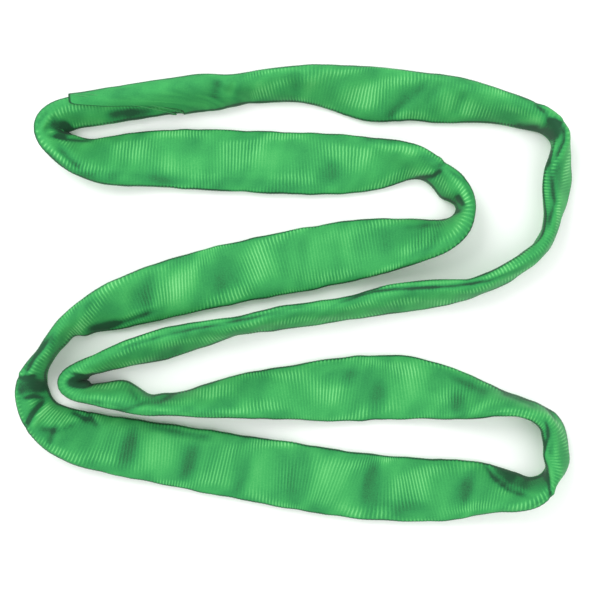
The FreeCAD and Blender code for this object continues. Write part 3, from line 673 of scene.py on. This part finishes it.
def build_sleeve():
    """The cover: one tube along the whole route, its start lapped over its end."""
    count = int(round(LENGTH / RIB_PITCH)) * ROWS_PER_RIB
    s = np.linspace(0, LENGTH, count + 1)[:, None]
    theta = np.linspace(0, 2 * math.pi, AROUND, endpoint=False)[None, :]
    grow = LAP_GROW * (1 - smooth_step(*GROW_FADE, s))
    blend = 1 - smooth_step(*SLANT_FADE, s)
    grid = sleeve_surface(s, theta, grow, blend)
    # dark holds the painted shade of the folds and pockets, negative where painted light
    grid, dark = folded(grid, grid_normals(grid))
    normals = grid_normals(grid)

    phase = np.arange(count + 1)[:, None] / ROWS_PER_RIB
    rib = np.abs(np.sin(math.pi * phase)) * np.ones_like(theta)
    patchy = rib_patches(s, theta, dark)
    strength = (0.35 + 0.75 * patchy) * (1 - 0.75 * blend)
    grid = grid + normals * ((rib - 0.5) * RIB_HEIGHT * strength)[..., None]
    grid[..., 2] = np.maximum(grid[..., 2], 0.0)
    tone = cloth_tone(s, theta, grid, normals, dark)
    # crest strength for the painted highlight on the rib crests
    rib_top = rib * (0.25 + 0.75 * patchy) * (1 - 0.7 * blend)

    # the mouth's first rows are darkened as a painted shadow inside the mouth; the hem's rows
    # come first, without ribs and with the same painted shadow
    hem_rows = len(HEM_ROWS)
    grid = np.concatenate([mouth_hem(grid, normals), grid], axis=0)
    tone[:hem_rows] -= MOUTH_SHADOW_TONE
    tone = np.concatenate([np.repeat(tone[:1], hem_rows, axis=0), tone], axis=0)
    rib_top = np.concatenate([np.zeros((hem_rows, AROUND)), rib_top], axis=0)
    phase = np.concatenate([np.zeros((hem_rows, 1)), phase], axis=0)

    mesh, faces = tube_mesh("sleeve_cover", grid)
    lay_cloth_coordinates(mesh, faces, phase, theta)
    for name, values in (("rib_top", rib_top), ("tone", tone)):
        field = mesh.attributes.new(name, "FLOAT", "POINT")
        field.data.foreach_set("value", values.ravel().astype(np.float32))
    piece = bpy.data.objects.new("sleeve_cover", mesh)
    bpy.context.scene.collection.objects.link(piece)
    return piece


# ---------------------------------------------------------------- materials
COVER_GREENS = [
    (0.0, (0.010, 0.070, 0.028)),
    (0.25, (0.020, 0.225, 0.062)),
    (0.50, (0.040, 0.330, 0.084)),
    (0.75, (0.088, 0.450, 0.125)),
    (1.0, (0.180, 0.590, 0.210)),
]
YARN_SCALE, DRIFT_SCALE = 900.0, 24.0
RELIEF_DISTANCE = 0.0002


def new_material(name):
    material = bpy.data.materials.new(name)
    material.use_nodes = True
    tree = material.node_tree
    return material, tree, tree.nodes["Principled BSDF"]


def node(tree, kind, **values):
    """New node; each value goes to the node's property of that name, else to the input."""
    made = tree.nodes.new(kind)
    for key, value in values.items():
        if hasattr(made, key):
            setattr(made, key, value)
        else:
            made.inputs[key].default_value = value
    return made


def ramp(tree, source, stops):
    made = tree.nodes.new("ShaderNodeValToRGB")
    elements = made.color_ramp.elements
    while len(elements) < len(stops):
        elements.new(0.5)
    for element, (place, colour) in zip(elements, stops):
        element.position = place
        element.color = (*colour, 1.0)
    tree.links.new(source, made.inputs["Fac"])
    return made


def maths(tree, operation, first, second):
    made = node(tree, "ShaderNodeMath", operation=operation)
    for socket, value in zip(made.inputs, (first, second)):
        if isinstance(value, (int, float)):
            socket.default_value = value
        else:
            tree.links.new(value, socket)
    return made.outputs[0]


def shifted(tree, level, source, middle, weight):
    """Level raised where the source is above its middle and lowered where it is below."""
    above = maths(tree, "SUBTRACT", source, middle)
    return maths(tree, "ADD", level, maths(tree, "MULTIPLY", above, weight))


def add_relief(tree, shader, height, strength):
    relief = node(tree, "ShaderNodeBump", Strength=strength, Distance=RELIEF_DISTANCE)
    tree.links.new(height, relief.inputs["Height"])
    tree.links.new(relief.outputs["Normal"], shader.inputs["Normal"])


def sleeve_cloth():
    """Ribbed green cloth: colour from the tone with its painted shade, the ribs' crests
    painted lighter as a painted highlight, the yarns and the dye.
    """
    material, tree, shader = new_material("green_polyester_cover")
    links = tree.links
    shader.inputs["Sheen Weight"].default_value = 0.08
    shader.inputs["Sheen Roughness"].default_value = 0.4
    shader.inputs["Specular IOR Level"].default_value = 0.22
    top = node(tree, "ShaderNodeAttribute", attribute_name="rib_top").outputs["Fac"]
    tone = node(tree, "ShaderNodeAttribute", attribute_name="tone").outputs["Fac"]
    place = node(tree, "ShaderNodeTexCoord").outputs["Object"]
    # filaments of the yarn floats, and a slow drift of the dye
    yarn = node(tree, "ShaderNodeTexNoise", Scale=YARN_SCALE, Detail=2.0)
    drift = node(tree, "ShaderNodeTexNoise", Scale=DRIFT_SCALE, Detail=3.0)
    links.new(place, yarn.inputs["Vector"])
    links.new(place, drift.inputs["Vector"])
    # rib crests painted lighter: a painted highlight
    crest = maths(tree, "POWER", top, 4.0)
    level = shifted(tree, tone, crest, 0.28, 0.54)
    level = shifted(tree, level, yarn.outputs["Fac"], 0.5, 0.30)
    level = shifted(tree, level, drift.outputs["Fac"], 0.5, 0.35)
    base = ramp(tree, level, COVER_GREENS)
    links.new(base.outputs["Color"], shader.inputs["Base Color"])
    # the crests shine a little more than the grooves
    gloss = maths(tree, "SUBTRACT", 0.78, maths(tree, "MULTIPLY", crest, 0.22))
    links.new(gloss, shader.inputs["Roughness"])
    add_relief(tree, shader, yarn.outputs["Fac"], 0.25)
    return material


def small_cloth(name, low, high, scale, rough):
    """Woven or spun textile with a fine two-way grain."""
    material, tree, shader = new_material(name)
    links = tree.links
    place = node(tree, "ShaderNodeTexCoord").outputs["Object"]
    grain = node(tree, "ShaderNodeTexWave", Scale=scale, Distortion=1.5, Detail=2.0)
    cloud = node(tree, "ShaderNodeTexNoise", Scale=scale * 0.2, Detail=3.0)
    links.new(place, grain.inputs["Vector"])
    links.new(place, cloud.inputs["Vector"])
    mixed = maths(tree, "MULTIPLY", grain.outputs["Fac"], 0.6)
    mixed = maths(tree, "ADD", mixed, maths(tree, "MULTIPLY", cloud.outputs["Fac"], 0.4))
    base = ramp(tree, mixed, [(0.1, low), (0.9, high)])
    links.new(base.outputs["Color"], shader.inputs["Base Color"])
    shader.inputs["Roughness"].default_value = rough
    add_relief(tree, shader, grain.outputs["Fac"], 0.3)
    return material


sleeve = build_sleeve()
sleeve.data.materials.append(sleeve_cloth())
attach(sleeve, "root")
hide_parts("outer_sleeve")

# name of the look, its darker and lighter colour, size of its grain, roughness
yarn_look = small_cloth(
    "white_core_yarn", (0.50, 0.49, 0.45), (0.80, 0.79, 0.74), 900.0, 0.7)
tape_look = small_cloth(
    "yarn_end_tape", (0.62, 0.60, 0.50), (0.78, 0.76, 0.66), 500.0, 0.5)
thread_look = small_cloth(
    "green_sewing_thread", (0.020, 0.19, 0.05), (0.055, 0.36, 0.10), 2200.0, 0.6)
label_look = small_cloth(
    "blank_label_cloth", (0.70, 0.71, 0.69), (0.84, 0.85, 0.83), 1400.0, 0.6)
LOOKS = {
    "core_hank": yarn_look,
    "core_end_tape": tape_look,
    "joint_seam_outer": thread_look,
    "joint_seam_inner": thread_look,
    "identification_label": label_look,
    "label_seam_left": thread_look,
    "label_seam_right": thread_look,
}
for name, look in LOOKS.items():
    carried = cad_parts[name]
    carried.data.materials.clear()
    carried.data.materials.append(look)

# ---------------------------------------------------------------- floor, light and camera
FLOOR_HALF = 6
FLOOR_DROP = 0.0003
CAMERA_HEIGHT = 1.5
# width of floor the camera takes in
VIEW_SPAN = 0.552

scene = bpy.context.scene
floor_mesh = bpy.data.meshes.new("floor")
floor_corners = [(FLOOR_HALF * x, FLOOR_HALF * y, 0) for x, y in
                 ((-1, -1), (1, -1), (1, 1), (-1, 1))]
floor_mesh.from_pydata(floor_corners, [], [(0, 1, 2, 3)])
floor = bpy.data.objects.new("floor", floor_mesh)
scene.collection.objects.link(floor)
floor.location.z = -FLOOR_DROP
floor_material, tree, shader = new_material("floor_pale")
shader.inputs["Base Color"].default_value = (0.97, 0.97, 0.97, 1)
shader.inputs["Roughness"].default_value = 0.9
floor_mesh.materials.append(floor_material)


def area_light(name, place, size, power):
    """Round lamp aimed at the middle of the floor."""
    lamp = bpy.data.lights.new(name, "AREA")
    lamp.shape = "DISK"
    lamp.size = size
    lamp.energy = power
    holder = bpy.data.objects.new(name, lamp)
    holder.location = place
    holder.rotation_mode = "QUATERNION"
    holder.rotation_quaternion = (-Vector(place)).to_track_quat("-Z", "Y")
    scene.collection.objects.link(holder)


area_light("key", place=(-0.8, 0.9, 1.5), size=1.2, power=19)
area_light("fill", place=(0.9, -0.6, 1.9), size=1.8, power=10)

world = bpy.data.worlds.new("world")
scene.world = world
world.use_nodes = True
background = world.node_tree.nodes["Background"]
background.inputs["Color"].default_value = (1, 1, 1, 1)
background.inputs["Strength"].default_value = 1.0
scene.view_settings.view_transform = "Standard"

lens = bpy.data.cameras.new("camera")
lens.lens = lens.sensor_width / 2 / (VIEW_SPAN / 2 / CAMERA_HEIGHT)
camera = bpy.data.objects.new("camera", lens)
camera.location = (-0.0002, 0.0003, CAMERA_HEIGHT)
scene.collection.objects.link(camera)
scene.camera = camera

bpy.context.view_layer.update()
